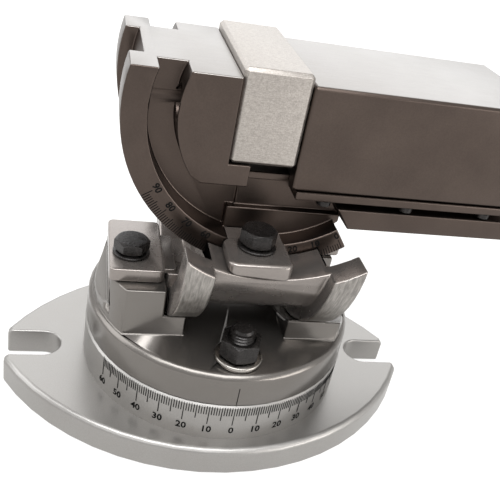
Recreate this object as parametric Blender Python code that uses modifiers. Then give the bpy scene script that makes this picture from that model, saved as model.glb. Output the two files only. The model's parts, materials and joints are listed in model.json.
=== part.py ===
"""A small three-way angle vise: it swivels on its base, swings sideways in a cradle, and tilts on an arc.

Z is up and X runs along the jaws' travel. The origin is the centre of the base's underside.
"""

import math

import bmesh
import bpy

# Driving dimensions, in metres
RING_R = 0.070          # graduated ring, tilt arc and swing treads share this radius
CLEAR = 0.0003          # running clearance between neighbouring pieces
JAW_W = 0.075           # jaw width, along Y

# Base
PLATE_T = 0.015
PLATE_HALF = 0.110      # half length, to the ends of the clamping lugs
PLATE_ARC = 0.126       # radius of the two long sides
PLATE_DEEP = 0.078      # half width across the middle
SLOT_W = 0.019
SLOT_IN = 0.082         # X of a slot's inner end
RING_TOP = 0.036
BOLT_R = 0.0555         # T-slot radius
PIVOT_R = 0.015

# Swivel body
SWIVEL_TOP = 0.054
PAD_Y = 0.0396          # half length of the cradle rails
POST_TOP = 0.079        # left post, under its clamp
POST_TOP_RIGHT = 0.075
POST_LEFT_X = -0.0352   # inner faces of the posts
POST_RIGHT_X = 0.0475
POST_OUT = 0.061        # outer faces of the posts, above their feet
POST_R = 0.0669         # their corners stand this far from the axis, inside the turntable's rim
POST_BACK_Y = 0.0165    # behind this the left post drops to its cradle rail, this high
CRADLE_RAIL_TOP = 0.068
LEFT_BOLT = (-0.0516, -0.0175, 0)
RIGHT_BOLT = (0.055, 0.025, 0)
CLAMP_THICK = 0.0067    # saddle clamps
CLAMP_HOLE_R = 0.0053   # holes for all four clamp bolts
CLAMP_FLATS = 0.015     # their hexagon heads
CLAMP_SHANK_R = 0.005
CLAMP_WASHER = (0.0089, 0.0053, 0.0012)

# Swivel bolts
STUD_R = 0.006
STUD_FLATS = 0.018
STUD_WASHER = (0.0115, 0.0064, 0.0025)
T_HEAD = 0.019          # square head of the T bolt
T_HEAD_TALL = 0.0082
T_HEAD_Z = 0.0197

# Saddle: swings about X, carries the tilt arc's cradle
SWING_Z = 0.1232
MID_X = 0.006           # middle of the saddle and of the tilt arc
SADDLE_HALF = 0.0395
TREAD_W = 0.0135
TREAD_IN = 0.056        # inner radius of the treads
WEB_R = 0.063
SHELF_R = 0.064         # the saddle's upper surface outside the arc
TILT_CLAMP_X = 0.00075
TILT_CLAMP_Y = 0.0450   # its bolt
TILT_CLAMP_HALF = 0.01455
TILT_CLAMP_TOP = 0.1099
TILT_CLAMP_OUT = 0.061  # from the plate's outer edge in to the arc flange
TILT_CLAMP_IN = 0.038
TILT_NOSE_OUT = 0.0395  # the nose, which reaches over the flange
TILT_NOSE_IN = 0.0283

# Vise body: tilts about Y
TILT_Z = 0.1655
ARC_IN = 0.059
FLANGE_IN_Y = 0.0185    # inner faces of the two arc flanges
NECK_Y = 0.0235
NECK_R = 0.064
HEEL_R = 0.047          # heel of the fixed jaw, just inside the clamps
TOP_Z = 0.1833          # tops of both jaw castings
SIDE_Z = 0.1352         # undersides of both jaw castings
FACE_X = -0.0169        # seat of the jaw block
LEDGE_X = -0.0069
LEDGE_Z = 0.1452
BED_Z = 0.1178          # underside of the bed
BED_END = 0.190
BAR_TOP = 0.1275
RAIL_Y = 0.029          # half width of the T rail
RAIL_TOP = 0.139
RAIL_NECK = 0.0242

# Jaws
BLOCK_T = 0.0299
BLOCK_TOP = 0.1877
BLOCK_SCREW_Z = 0.168
BLOCK_SCREW_X = -0.029  # under the heads of its screws
BLOCK_SCREW_Y = 0.030
JAW_X = FACE_X + BLOCK_T + 2 * CLEAR
JAW_END = 0.130
STRIP_T = 0.004

# Screw
SCREW_Z = 0.158
SCREW_R = 0.0075
NUT_R = 0.014
NUT_L = 0.023
BRACKET_T = 0.013
CRANK_L = 0.070
GRIP_L = 0.040


def clear_scene():
    for obj in list(bpy.data.objects):
        bpy.data.objects.remove(obj, do_unlink=True)


def new_collection(name, hidden=False):
    made = bpy.data.collections.new(name)
    bpy.context.scene.collection.children.link(made)
    made.hide_render = hidden
    return made


clear_scene()
PARTS = new_collection("machine_vise")
CUTTERS = new_collection("cutters", hidden=True)


def material(name, colour, roughness, metallic):
    made = bpy.data.materials.new(name)
    made.use_nodes = True
    shader = made.node_tree.nodes["Principled BSDF"]
    shader.inputs["Base Color"].default_value = (*colour, 1)
    shader.inputs["Roughness"].default_value = roughness
    shader.inputs["Metallic"].default_value = metallic
    return made


MACHINED = {"colour": (0.29, 0.28, 0.27), "roughness": 0.38, "metallic": 1.0}
GROUND = {"colour": (0.62, 0.61, 0.59), "roughness": 0.30, "metallic": 1.0}
BLACK = {"colour": (0.02, 0.02, 0.02), "roughness": 0.42, "metallic": 0.8}
BRIGHT = {"colour": (0.55, 0.54, 0.52), "roughness": 0.28, "metallic": 1.0}
BRONZE = {"colour": (0.45, 0.28, 0.12), "roughness": 0.38, "metallic": 1.0}


def finish(obj, look=None):
    """Give a piece its own material, or hide a cutter."""
    if look is None:
        CUTTERS.objects.link(obj)
        obj.hide_render = True
        obj.display_type = "WIRE"
    else:
        PARTS.objects.link(obj)
        obj.data.materials.append(material(obj.name, **look))
        obj.data.shade_smooth()
        obj.data.set_sharp_from_angle(angle=math.radians(30))
    return obj


def mesh_object(name, bm, look, place=(0, 0, 0), turn=(0, 0, 0)):
    bmesh.ops.recalc_face_normals(bm, faces=bm.faces)
    mesh = bpy.data.meshes.new(name)
    bm.to_mesh(mesh)
    bm.free()
    obj = bpy.data.objects.new(name, mesh)
    obj.location = place
    obj.rotation_euler = turn
    return finish(obj, look)


def box(name, low, high, look=None, bevel=0.0, place=(0, 0, 0)):
    """A block between two corners, given relative to its origin."""
    bm = bmesh.new()
    bmesh.ops.create_cube(bm, size=1)
    for vert in bm.verts:
        for i in range(3):
            vert.co[i] = low[i] if vert.co[i] < 0 else high[i]
    if bevel:
        bmesh.ops.bevel(bm, geom=bm.edges[:], offset=bevel, segments=1, profile=0.5, affect="EDGES")
    return mesh_object(name, bm, look, place)


TURNS = {"X": (0, math.pi / 2, 0), "Y": (-math.pi / 2, 0, 0), "Z": (0, 0, 0)}


def turned(name, profile, look=None, place=(0, 0, 0), axis="Z", steps=32):
    """A turned piece: the profile holds (radius, height) pairs down its outer side."""
    bm = bmesh.new()
    verts = [bm.verts.new((r, 0, h)) for r, h in profile]
    for a, b in zip(verts, verts[1:]):
        bm.edges.new((a, b))
    if profile[0][0] > 0:
        bm.edges.new((verts[-1], verts[0]))
    mesh = bpy.data.meshes.new(name)
    bm.to_mesh(mesh)
    bm.free()
    obj = bpy.data.objects.new(name, mesh)
    obj.location = place
    obj.rotation_euler = TURNS[axis]
    screw = obj.modifiers.new("turn", "SCREW")
    screw.steps = screw.render_steps = steps
    screw.use_merge_vertices = True
    screw.merge_threshold = 0.00001
    screw.use_smooth_shade = True
    return finish(obj, look)


def rod(name, radius, start, end, look=None, place=(0, 0, 0), axis="Z", steps=32, chamfer=0.0):
    """A round bar along its axis, from start to end."""
    c = chamfer
    profile = [(0, end), (radius - c, end), (radius, end - c),
               (radius, start + c), (radius - c, start), (0, start)]
    if not c:
        profile = [(0, end), (radius, end), (radius, start), (0, start)]
    return turned(name, profile, look, place, axis, steps)


def stepped_bore(name, narrow, wide, low, middle, high, place, axis="X", steps=32):
    """A cutter for a hole that widens at middle."""
    profile = [(0, high), (wide, high), (wide, middle), (narrow, middle), (narrow, low), (0, low)]
    return turned(name, profile, None, place, axis, steps)


def arc(centre, radius, first, last, count):
    """Points on a circle, with both angles in degrees."""
    for i in range(count + 1):
        angle = math.radians(first + (last - first) * i / count)
        yield centre[0] + radius * math.cos(angle), centre[1] + radius * math.sin(angle)


def prism(name, outline, low, high, look=None, plane="XY", place=(0, 0, 0), chamfer=0.0):
    """An outline pushed from low to high; chamfer eases the edges of the high face."""
    bm = bmesh.new()
    at = (lambda u, v: (u, v, low)) if plane == "XY" else (lambda u, v: (u, low, v))
    face = bm.faces.new([bm.verts.new(at(u, v)) for u, v in outline])
    pushed = bmesh.ops.extrude_face_region(bm, geom=[face])
    shift = (0, 0, high - low) if plane == "XY" else (0, high - low, 0)
    verts = [g for g in pushed["geom"] if isinstance(g, bmesh.types.BMVert)]
    bmesh.ops.translate(bm, verts=verts, vec=shift)
    if chamfer:
        cap = [g for g in pushed["geom"] if isinstance(g, bmesh.types.BMFace)][0]
        bmesh.ops.bevel(bm, geom=list(cap.edges), offset=chamfer, segments=1, profile=0.5, affect="EDGES")
    return mesh_object(name, bm, look, place)


def combine(obj, operation, *others):
    for other in others:
        modifier = obj.modifiers.new(other.name, "BOOLEAN")
        modifier.operation = operation
        modifier.object = other
    return obj


def cut(obj, *cutters):
    return combine(obj, "DIFFERENCE", *cutters)


def join(obj, *others):
    return combine(obj, "UNION", *others)


def keep(obj, *others):
    return combine(obj, "INTERSECT", *others)


def hexagon(name, flats, low, high, look=None, place=(0, 0, 0), bore=0.0):
    """A hexagonal head or nut with its top corners turned off."""
    corner = flats / 2 / math.cos(math.pi / 6)
    obj = prism(name, list(arc((0, 0), corner, 0, 300, 5)), low, high, look, place=place)
    easing = turned(name + "_easing", [(0, high + 0.001), (flats / 2 - 0.0007, high + 0.0001),
                                       (corner + 0.001, high - 0.0018), (corner + 0.001, low - 0.001),
                                       (0, low - 0.001)], place=place)
    keep(obj, easing)
    if bore:
        cut(obj, rod(name + "_bore", bore, low - 0.002, high + 0.002, place=place))
    return obj


def hex_bolt(name, place, flats, head, shank_r, length, look=BLACK):
    """A hexagon bolt; place is the underside of its head."""
    obj = hexagon(name, flats, 0, head, look, place)
    return join(obj, rod(name + "_shank", shank_r, -length, 0.002, place=place, steps=24, chamfer=0.001))


def washer(name, place, outer, inner, thick, look=BRIGHT, axis="Z", steps=24):
    profile = [(inner, thick), (outer - 0.0004, thick), (outer, thick - 0.0004), (outer, 0), (inner, 0)]
    return turned(name, profile, look, place, axis, steps)


def cap_screw(name, place, head_r, head, shank_r, length, axis="Z", look=BLACK):
    """A socket screw along its axis; place is the underside of its head."""
    corner = head_r * 0.62
    profile = [(0, head), (head_r - 0.0004, head), (head_r, head - 0.0004), (head_r, 0),
               (shank_r, 0), (shank_r, -length), (0, -length)]
    obj = turned(name, profile, look, place, axis, 24)
    socket = prism(name + "_socket", list(arc((0, 0), corner, 0, 300, 5)), head * 0.45, head + 0.001)
    socket.location = place
    socket.rotation_euler = TURNS[axis]
    return cut(obj, socket)


def make_base():
    """Flat plate with open slots at both ends and the graduated ring, with its T slot, standing on it."""
    back = PLATE_ARC - PLATE_DEEP
    reach = math.degrees(math.acos(PLATE_HALF / PLATE_ARC))
    outline = list(arc((0, back), PLATE_ARC, 180 + reach, 360 - reach, 20))
    outline += list(arc((0, -back), PLATE_ARC, reach, 180 - reach, 20))
    base = prism("base_plate", outline, 0, PLATE_T, MACHINED, chamfer=0.002)
    ring = [(PIVOT_R + CLEAR, RING_TOP), (BOLT_R - 0.0065, RING_TOP), (BOLT_R - 0.0065, 0.0285),
            (BOLT_R - 0.0105, 0.0285), (BOLT_R - 0.0105, 0.019), (BOLT_R + 0.0105, 0.019),
            (BOLT_R + 0.0105, 0.0285), (BOLT_R + 0.0065, 0.0285), (BOLT_R + 0.0065, RING_TOP),
            (RING_R - 0.0006, RING_TOP), (RING_R, RING_TOP - 0.0006), (RING_R, 0.0125),
            (PIVOT_R + CLEAR, 0.0125)]
    for side in (-1, 1):
        middle = side * (SLOT_IN + SLOT_W / 2)
        ends = sorted((middle, side * (PLATE_HALF + 0.01)))
        slot = box(f"slot_{side}", (ends[0], -SLOT_W / 2, -0.01), (ends[1], SLOT_W / 2, PLATE_T + 0.01))
        join(slot, rod(f"slot_end_{side}", SLOT_W / 2, -0.01, PLATE_T + 0.01, place=(middle, 0, 0)))
        cut(base, slot)
    cut(base, rod("pivot_hole", PIVOT_R + CLEAR, 0.004, 0.03))
    join(base, turned("ring", ring, steps=56))
    rod("swivel_pivot", PIVOT_R, 0.004 + CLEAR, 0.0455, BRIGHT, chamfer=0.001)


def make_swivel():
    """Turntable with a concave cradle rail each side and the posts that carry the saddle's clamps."""
    profile = [(0, SWIVEL_TOP), (RING_R - 0.0025, SWIVEL_TOP), (RING_R - 0.0003, SWIVEL_TOP - 0.0022),
               (RING_R - 0.0003, RING_TOP + CLEAR), (0, RING_TOP + CLEAR)]
    body = turned("swivel_body", profile, MACHINED, steps=56)
    low = SWIVEL_TOP - 0.004
    limit = rod("rail_limit", POST_R, 0.04, 0.1, steps=56)
    for name, side, inner, top in (("left", -1, 0.0245, POST_TOP), ("right", 1, 0.0265, POST_TOP_RIGHT)):
        outline = [(inner, low), (POST_OUT + 0.0060, low), (POST_OUT + 0.0060, SWIVEL_TOP + 0.0022),
                   (POST_OUT, SWIVEL_TOP + 0.0090), (POST_OUT, top), (inner, top)]
        outline = [(side * x, z) for x, z in outline]
        join(body, keep(prism(f"rail_{name}", outline, -PAD_Y, PAD_Y, plane="XZ"), limit))
    cut(body, box("rail_drop", (-0.09, POST_BACK_Y, CRADLE_RAIL_TOP), (0, 0.09, 0.1)))
    spot = (0, 0, SWING_Z)
    cut(body, rod("cradle", RING_R + CLEAR, POST_LEFT_X, POST_RIGHT_X, place=spot, axis="X", steps=64))
    relief = rod("relief", RING_R + 2 * CLEAR, POST_RIGHT_X - 0.001, 0.09, place=spot, axis="X", steps=64)
    cut(body, keep(relief, box("relief_limit", (0, -0.1, 0), (0.1, 0.006, 0.13))))
    cut(body, rod("pivot_bore", PIVOT_R + CLEAR, 0.03, 0.046))
    for side, name in ((-1, "front"), (1, "rear")):
        spot = (0, side * BOLT_R, 0)
        cut(body, rod(f"swivel_hole_{name}", 0.0064, 0.03, 0.06, place=spot))
        make_swivel_bolt(name, spot)
    for name, spot in (("left", LEFT_BOLT), ("right", RIGHT_BOLT)):
        cut(body, rod(f"clamp_hole_{name}", CLAMP_HOLE_R, 0.058, 0.09, place=spot))


def make_swivel_bolt(name, spot):
    """T bolt in the ring's slot, with its washer and nut on the turntable."""
    x, y, _ = spot
    half = T_HEAD / 2
    place = (x, y, T_HEAD_Z)
    bolt = box(f"swivel_t_bolt_{name}", (-half, -half, 0), (half, half, T_HEAD_TALL), BLACK, place=place)
    join(bolt, rod(f"swivel_stud_{name}", STUD_R, 0.004, 0.0525, place=place, steps=24, chamfer=0.001))
    base = SWIVEL_TOP + CLEAR
    washer(f"swivel_washer_{name}", (x, y, base), *STUD_WASHER)
    seat = base + STUD_WASHER[2] + CLEAR
    hexagon(f"swivel_nut_{name}", STUD_FLATS, 0, 0.010, BLACK, (x, y, seat), bore=STUD_R + CLEAR)


def make_saddle():
    """Cross piece: treads that ride the swivel's cradle below, and the tilt arc's cradle above."""
    inner = SADDLE_HALF - TREAD_W
    spot = (MID_X, 0, SWING_Z)
    saddle = rod("saddle", WEB_R, -inner - 0.0005, inner + 0.0005, MACHINED, spot, "X", 64)
    for side in (-1, 1):
        low, high = sorted((side * inner, side * SADDLE_HALF))
        profile = [(TREAD_IN, high), (RING_R, high), (RING_R, low), (TREAD_IN, low)]
        join(saddle, turned(f"tread_{side}", profile, place=spot, axis="X", steps=64))
    join(saddle, rod("saddle_core", 0.030, -SADDLE_HALF, SADDLE_HALF, place=spot, axis="X", steps=64))
    axis = (MID_X, 0, TILT_Z)
    cut(saddle, rod("shelf_cutter", SHELF_R, -0.1, 0.1, place=axis, axis="Y", steps=64))
    seat = JAW_W / 2 + 0.0004
    cut(saddle, rod("arc_cutter", RING_R + CLEAR, -seat, seat, place=axis, axis="Y", steps=64))
    for side in (-1, 1):
        hole = (TILT_CLAMP_X, side * TILT_CLAMP_Y, 0)
        cut(saddle, rod(f"tilt_hole_{side}", CLAMP_HOLE_R, 0.087, 0.12, place=hole))


def make_saddle_clamps():
    """The two clamps whose noses press on the insides of the saddle's treads."""
    groove = rod("groove", TREAD_IN - CLEAR, -0.1, 0.1, place=(0, 0, SWING_Z), axis="X", steps=64)
    left_top = POST_TOP + CLEAR + CLAMP_THICK
    left = box("saddle_clamp_left", (-0.0620, -0.033, POST_TOP + CLEAR), (-0.0362, 0.014, left_top), MACHINED, 0.0008)
    nose = box("nose_left", (-0.040, -0.026, 0.064), (-0.0235, 0.008, 0.0805))
    stem = box("nose_left_limit", (-0.0345, -0.05, 0.05), (-0.02, 0.05, 0.09))
    over = box("nose_left_over", (-0.041, -0.027, POST_TOP + CLEAR), (-0.033, 0.009, 0.0835))
    join(left, join(keep(keep(nose, groove), stem), over))
    cut(left, rod("clamp_bore_left", CLAMP_HOLE_R, 0.06, 0.09, place=LEFT_BOLT))
    right_low = POST_TOP_RIGHT + CLEAR
    right = box("saddle_clamp_right", (0.0475, 0.008, right_low), (0.0650, 0.040, right_low + CLAMP_THICK),
                MACHINED, 0.0008)
    nose = box("nose_right", (0.036, 0.010, 0.064), (0.0475, 0.030, 0.0815))
    stem = box("nose_right_limit", (0.036, 0, 0.05), (0.0464, 0.05, 0.09))
    over = box("nose_right_over", (0.0455, 0.0095, right_low + CLEAR), (0.050, 0.0305, 0.0817))
    join(right, join(keep(keep(nose, groove), stem), over))
    cut(right, rod("clamp_bore_right", CLAMP_HOLE_R, 0.06, 0.09, place=RIGHT_BOLT))
    make_clamp_bolt("saddle_clamp", "left", LEFT_BOLT, left_top, 0.0060, 0.024)
    make_clamp_bolt("saddle_clamp", "right", RIGHT_BOLT, right_low + CLAMP_THICK, 0.0060, 0.020)


def make_clamp_bolt(clamp, name, spot, top, head, reach):
    """A clamp's bolt on its washer, above this clamp's top face."""
    x, y, _ = spot
    outer, inner, thick = CLAMP_WASHER
    washer(f"{clamp}_washer_{name}", (x, y, top + CLEAR), outer, inner, thick, BLACK)
    seat = (x, y, top + thick + 2 * CLEAR)
    hex_bolt(f"{clamp}_bolt_{name}", seat, CLAMP_FLATS, head, CLAMP_SHANK_R, reach)


def make_tilt_clamps():
    """The front and rear clamps whose noses press on the inside of the tilt arc."""
    top = TILT_CLAMP_TOP
    half = TILT_CLAMP_HALF
    axis = (MID_X, 0, TILT_Z)
    for side, name in ((-1, "front"), (1, "rear")):
        outer = sorted((side * TILT_CLAMP_OUT, side * TILT_CLAMP_IN))
        inner = sorted((side * TILT_NOSE_OUT, side * TILT_NOSE_IN))
        spot = (TILT_CLAMP_X, side * TILT_CLAMP_Y, 0)
        plate = box(f"tilt_clamp_{name}", (-half, outer[0], top - 0.0104), (half, outer[1], top),
                    MACHINED, 0.0008, place=(TILT_CLAMP_X, 0, 0))
        keep(plate, rod(f"shelf_{name}", SHELF_R - CLEAR, -0.1, 0.1, place=axis, axis="Y", steps=64))
        nose = box(f"tilt_nose_{name}", (-half + 0.0008, inner[0], top - 0.0109),
                   (half - 0.0008, inner[1], top - 0.0005), place=(TILT_CLAMP_X, 0, 0))
        keep(nose, rod(f"arc_{name}", ARC_IN - CLEAR, -0.09, 0.09, place=axis, axis="Y", steps=80))
        join(plate, nose)
        cut(plate, rod(f"tilt_bore_{name}", CLAMP_HOLE_R, 0.09, 0.12, place=spot))
        make_clamp_bolt("tilt_clamp", name, spot, top, 0.0075, 0.022)


def make_body():
    """Tilting body: two arc flanges, the neck, the fixed jaw's casting and the T-railed bed."""
    centre = (MID_X, TILT_Z)
    rise = TOP_Z - TILT_Z

    def above(radius):
        return 180 - math.degrees(math.asin(rise / radius))

    heel_end = 180 + math.degrees(math.asin((TILT_Z - SIDE_Z - 0.003) / HEEL_R))
    heel = list(arc(centre, HEEL_R, above(HEEL_R), heel_end, 20))
    casting = heel + [(heel[-1][0] + 0.0045, SIDE_Z), (LEDGE_X, SIDE_Z), (LEDGE_X, LEDGE_Z),
                      (FACE_X, LEDGE_Z), (FACE_X, TOP_Z)]
    body = prism("vise_body", casting, -JAW_W / 2, JAW_W / 2, MACHINED, "XZ")
    neck = list(arc(centre, NECK_R, above(NECK_R), 296, 28))
    neck += [(0.0445, BED_Z), (0.0445, SIDE_Z), (-0.010, SIDE_Z), (-0.010, LEDGE_Z), (-0.020, LEDGE_Z),
             (-0.020, TOP_Z)]
    join(body, prism("neck", neck, -NECK_Y, NECK_Y, plane="XZ"))
    flange = list(arc(centre, RING_R, above(RING_R), 305, 36))
    flange += list(arc(centre, ARC_IN, 305, above(ARC_IN), 36))
    for side in (-1, 1):
        low, high = sorted((side * FLANGE_IN_Y, side * JAW_W / 2))
        join(body, prism(f"flange_{side}", flange, low, high, plane="XZ"))
    rib = list(arc(centre, 0.062, 253, 307, 14)) + [(0.0433, 0.120), (-0.012, 0.120)]
    join(body, prism("rib", rib, -0.0275, 0.0275, plane="XZ"))
    join(body, box("bed", (-0.008, -RAIL_NECK, BED_Z), (BED_END, RAIL_NECK, RAIL_TOP - 0.002)))
    join(body, box("rail", (-0.009, -RAIL_Y, SIDE_Z + CLEAR), (BED_END, RAIL_Y, RAIL_TOP)))
    bar = [(0.0446, BED_Z - 0.0002), (BED_END, BED_Z - 0.0002), (BED_END, BAR_TOP), (0.0375, BAR_TOP)]
    join(body, prism("bar", bar, -JAW_W / 2 + 0.0003, JAW_W / 2 - 0.0003, plane="XZ"))
    for y in (-BLOCK_SCREW_Y, BLOCK_SCREW_Y):
        hole = stepped_bore(f"block_hole_{y}", 0.0043, 0.0070, -0.01, 0.0287, 0.06, (0, y, BLOCK_SCREW_Z))
        hole.rotation_euler = (0, -math.pi / 2, 0)
        cut(body, hole)
    for x, y, z in bracket_spots():
        hole = (BED_END - 0.016, BED_END + 0.01)
        cut(body, rod(f"bracket_hole_{y}_{z}", 0.0028, *hole, place=(0, y, z), axis="X"))


def bracket_spots():
    """The end bracket's four screws, by the face they enter."""
    for y in (-0.0305, 0.0305):
        yield BED_END, y, 0.1242
    for y in (-0.016, 0.016):
        yield BED_END, y, 0.1290


def make_jaws():
    """Ground jaw block on the fixed jaw, the sliding jaw, its keeper strips and their screws."""
    low = (FACE_X + CLEAR, -JAW_W / 2 + 0.0003, LEDGE_Z + CLEAR)
    high = (FACE_X + CLEAR + BLOCK_T, JAW_W / 2 - 0.0003, BLOCK_TOP)
    block = box("jaw_block", low, high, GROUND, 0.0016)
    for y in (-BLOCK_SCREW_Y, BLOCK_SCREW_Y):
        cut(block, rod(f"block_tap_{y}", 0.0043, -0.03, -0.003, place=(0, y, BLOCK_SCREW_Z), axis="X"))
        name = "front" if y < 0 else "rear"
        screw_place = (BLOCK_SCREW_X, y, BLOCK_SCREW_Z)
        screw = cap_screw(f"jaw_block_screw_{name}", screw_place, 0.0065, 0.0078, 0.004, 0.025, "X")
        screw.rotation_euler = (0, -math.pi / 2, 0)
        bpy.data.objects[screw.name + "_socket"].rotation_euler = screw.rotation_euler
    jaw = box("movable_jaw", (JAW_X, -JAW_W / 2, SIDE_Z), (JAW_END, JAW_W / 2, TOP_Z), MACHINED, 0.0012)
    cut(jaw, box("channel", (0, -RAIL_Y - CLEAR, 0.1), (0.15, RAIL_Y + CLEAR, RAIL_TOP + CLEAR)))
    step = JAW_END - NUT_L - CLEAR
    cut(jaw, stepped_bore("screw_bore", SCREW_R + 0.0011, NUT_R + CLEAR, 0.034, step, 0.15, (0, 0, SCREW_Z)))
    strip_top = SIDE_Z - CLEAR
    for side, name in ((-1, "front"), (1, "rear")):
        low, high = sorted((side * JAW_W / 2, side * (RAIL_NECK + CLEAR)))
        ends = ((0.016, low, strip_top - STRIP_T), (JAW_END - 0.001, high, strip_top))
        strip = box(f"keeper_strip_{name}", *ends, MACHINED, 0.0004)
        for i in range(3):
            spot = (0.031 + 0.041 * i, side * 0.0335, 0)
            cut(strip, rod(f"strip_hole_{name}_{i}", 0.0023, 0.12, 0.14, place=spot))
            cut(jaw, rod(f"jaw_tap_{name}_{i}", 0.0023, 0.13, 0.148, place=spot))
            place = (spot[0], spot[1], strip_top - STRIP_T - CLEAR)
            screw = cap_screw(f"keeper_screw_{name}_{i + 1}", place, 0.0034, 0.0026, 0.002, 0.014)
            screw.rotation_euler = (math.pi, 0, 0)
            bpy.data.objects[screw.name + "_socket"].rotation_euler = screw.rotation_euler


def make_screw():
    """Lead screw held in the end bracket, its bronze nut in the sliding jaw, and the crank."""
    at = (0, 0, SCREW_Z)
    start = JAW_END - NUT_L - 0.012
    face = BED_END + CLEAR + BRACKET_T
    outer = face + 0.0190
    profile = [(0, outer - 0.012), (0.0029, outer - 0.012), (0.0029, outer), (0.0050, outer),
               (0.0058, outer - 0.0008), (0.0058, face + 0.0045), (0.0065, face + 0.0045),
               (0.0065, BED_END - CLEAR), (0.0115, BED_END - CLEAR), (0.0115, BED_END - 0.0038),
               (SCREW_R, BED_END - 0.0038), (SCREW_R, start + 0.0015), (SCREW_R - 0.0015, start), (0, start)]
    turned("lead_screw", profile, BRIGHT, at, "X", 24)
    nut = [(SCREW_R + CLEAR, JAW_END - 0.0005), (NUT_R, JAW_END - 0.0005), (NUT_R, JAW_END - NUT_L),
           (SCREW_R + CLEAR, JAW_END - NUT_L)]
    turned("screw_nut", nut, BRONZE, at, "X", 32)
    low = (BED_END + CLEAR, -JAW_W / 2 + 0.0003, BED_Z)
    high = (face, JAW_W / 2 - 0.0003, SCREW_Z + 0.020)
    bracket = box("end_bracket", low, high, MACHINED, 0.0012)
    cut(bracket, rod("journal", 0.0068, BED_END - 0.01, face + 0.01, place=at, axis="X"))
    for i, (x, y, z) in enumerate(bracket_spots()):
        spot = (0, y, z)
        depths = (BED_END - 0.01, face - 0.0052, face + 0.01)
        cut(bracket, stepped_bore(f"bracket_bore_{i}", 0.0028, 0.0047, *depths, spot, steps=24))
        place = (face - 0.0049, y, z)
        cap_screw(f"end_bracket_screw_{i + 1}", place, 0.0043, 0.0048, 0.0025, 0.020, "X")
    washer("thrust_washer", (face + CLEAR, 0, SCREW_Z), 0.0115, 0.0068, 0.0016, BRIGHT, "X")
    washer("retaining_collar", (face + 0.0048, 0, SCREW_Z), 0.0105, 0.0061, 0.0050, BLACK, "X")
    make_crank(face + 0.0103)


def make_crank(x):
    """Crank arm on the screw's end, with a grip that spins on its pin."""
    thick = 0.009
    small, large = 0.0085, 0.0125
    arm = turned("crank_arm", [(0.0061, thick), (large, thick), (large, 0), (0.0061, 0)], MACHINED,
                 (x, 0, SCREW_Z), "X", 32)
    bar = box("crank_bar", (x + 0.001, -0.0065, SCREW_Z - CRANK_L),
              (x + thick - 0.001, 0.0065, SCREW_Z - 0.0085))
    end = rod("crank_end", small, 0.0008, thick - 0.0008, place=(x, 0, SCREW_Z - CRANK_L), axis="X")
    join(arm, join(bar, end))
    at = (x, 0, SCREW_Z - CRANK_L)
    cut(arm, rod("pin_hole", 0.0033, -0.001, thick + 0.001, place=at, axis="X", steps=24))
    reach = thick + GRIP_L
    pin = [(0, reach + 0.0032), (0.0045, reach + 0.0032), (0.0055, reach + 0.0022),
           (0.0055, reach + 0.0008), (0.0030, reach + 0.0008), (0.0030, CLEAR), (0, CLEAR)]
    turned("grip_pin", pin, BRIGHT, at, "X", 24)
    grip = [(0.0034, GRIP_L), (0.0075, GRIP_L), (0.0092, GRIP_L - 0.0025), (0.0098, GRIP_L * 0.62),
            (0.0085, GRIP_L * 0.25), (0.0075, 0.0015), (0.0068, 0), (0.0034, 0)]
    turned("crank_grip", grip, BLACK, (x + thick + 0.0004, 0, SCREW_Z - CRANK_L), "X", 32)
    cap_screw("crank_screw", (x + thick + CLEAR, 0, SCREW_Z), 0.0090, 0.0030, 0.0026, 0.010, "X")


make_base()
make_swivel()
make_saddle()
make_saddle_clamps()
make_tilt_clamps()
make_body()
make_jaws()
make_screw()
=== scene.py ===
import json
import math

import bmesh
import bpy
from mathutils import Matrix, Vector


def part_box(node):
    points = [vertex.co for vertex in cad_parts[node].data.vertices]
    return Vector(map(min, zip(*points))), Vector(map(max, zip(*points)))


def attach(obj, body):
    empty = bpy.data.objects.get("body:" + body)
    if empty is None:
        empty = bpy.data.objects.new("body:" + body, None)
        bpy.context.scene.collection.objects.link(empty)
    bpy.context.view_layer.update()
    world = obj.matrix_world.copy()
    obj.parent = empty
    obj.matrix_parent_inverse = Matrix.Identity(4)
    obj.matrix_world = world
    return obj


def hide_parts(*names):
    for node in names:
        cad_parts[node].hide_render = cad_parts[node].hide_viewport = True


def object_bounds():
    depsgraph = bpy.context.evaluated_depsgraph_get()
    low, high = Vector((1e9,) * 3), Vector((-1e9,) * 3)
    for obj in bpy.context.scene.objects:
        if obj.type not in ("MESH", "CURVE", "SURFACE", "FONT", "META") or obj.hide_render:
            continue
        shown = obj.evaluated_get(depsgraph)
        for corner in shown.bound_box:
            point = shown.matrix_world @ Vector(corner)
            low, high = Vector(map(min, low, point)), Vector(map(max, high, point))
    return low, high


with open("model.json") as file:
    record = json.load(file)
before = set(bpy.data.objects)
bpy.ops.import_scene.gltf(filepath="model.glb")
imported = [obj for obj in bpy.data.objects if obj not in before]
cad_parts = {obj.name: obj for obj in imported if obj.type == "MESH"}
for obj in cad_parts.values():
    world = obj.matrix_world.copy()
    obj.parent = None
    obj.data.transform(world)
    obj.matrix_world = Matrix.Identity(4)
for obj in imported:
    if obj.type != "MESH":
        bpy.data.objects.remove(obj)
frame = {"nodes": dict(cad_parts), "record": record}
cadLow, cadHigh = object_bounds()
nodes = frame["nodes"]
behaviour = frame["record"]["behaviour"]
bodyOf = {node: body for body, members in behaviour["bodies"].items() for node in members}
pivotOf = {joint["name"]: joint.get("pos_m") for joint in behaviour["joints"]}
mm = 0.001
gap = 0.0003  # left between neighbouring pieces
upZ, alongX = (0, 0, 1), (1, 0, 0)


def linear(hexColour):
    # sRGB hex to the linear values that a shader takes
    channels = [int(hexColour[i:i + 2], 16) / 255 for i in (1, 3, 5)]
    return [c / 12.92 if c <= 0.04045 else ((c + 0.055) / 1.055) ** 2.4 for c in channels] + [1.0]


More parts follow.
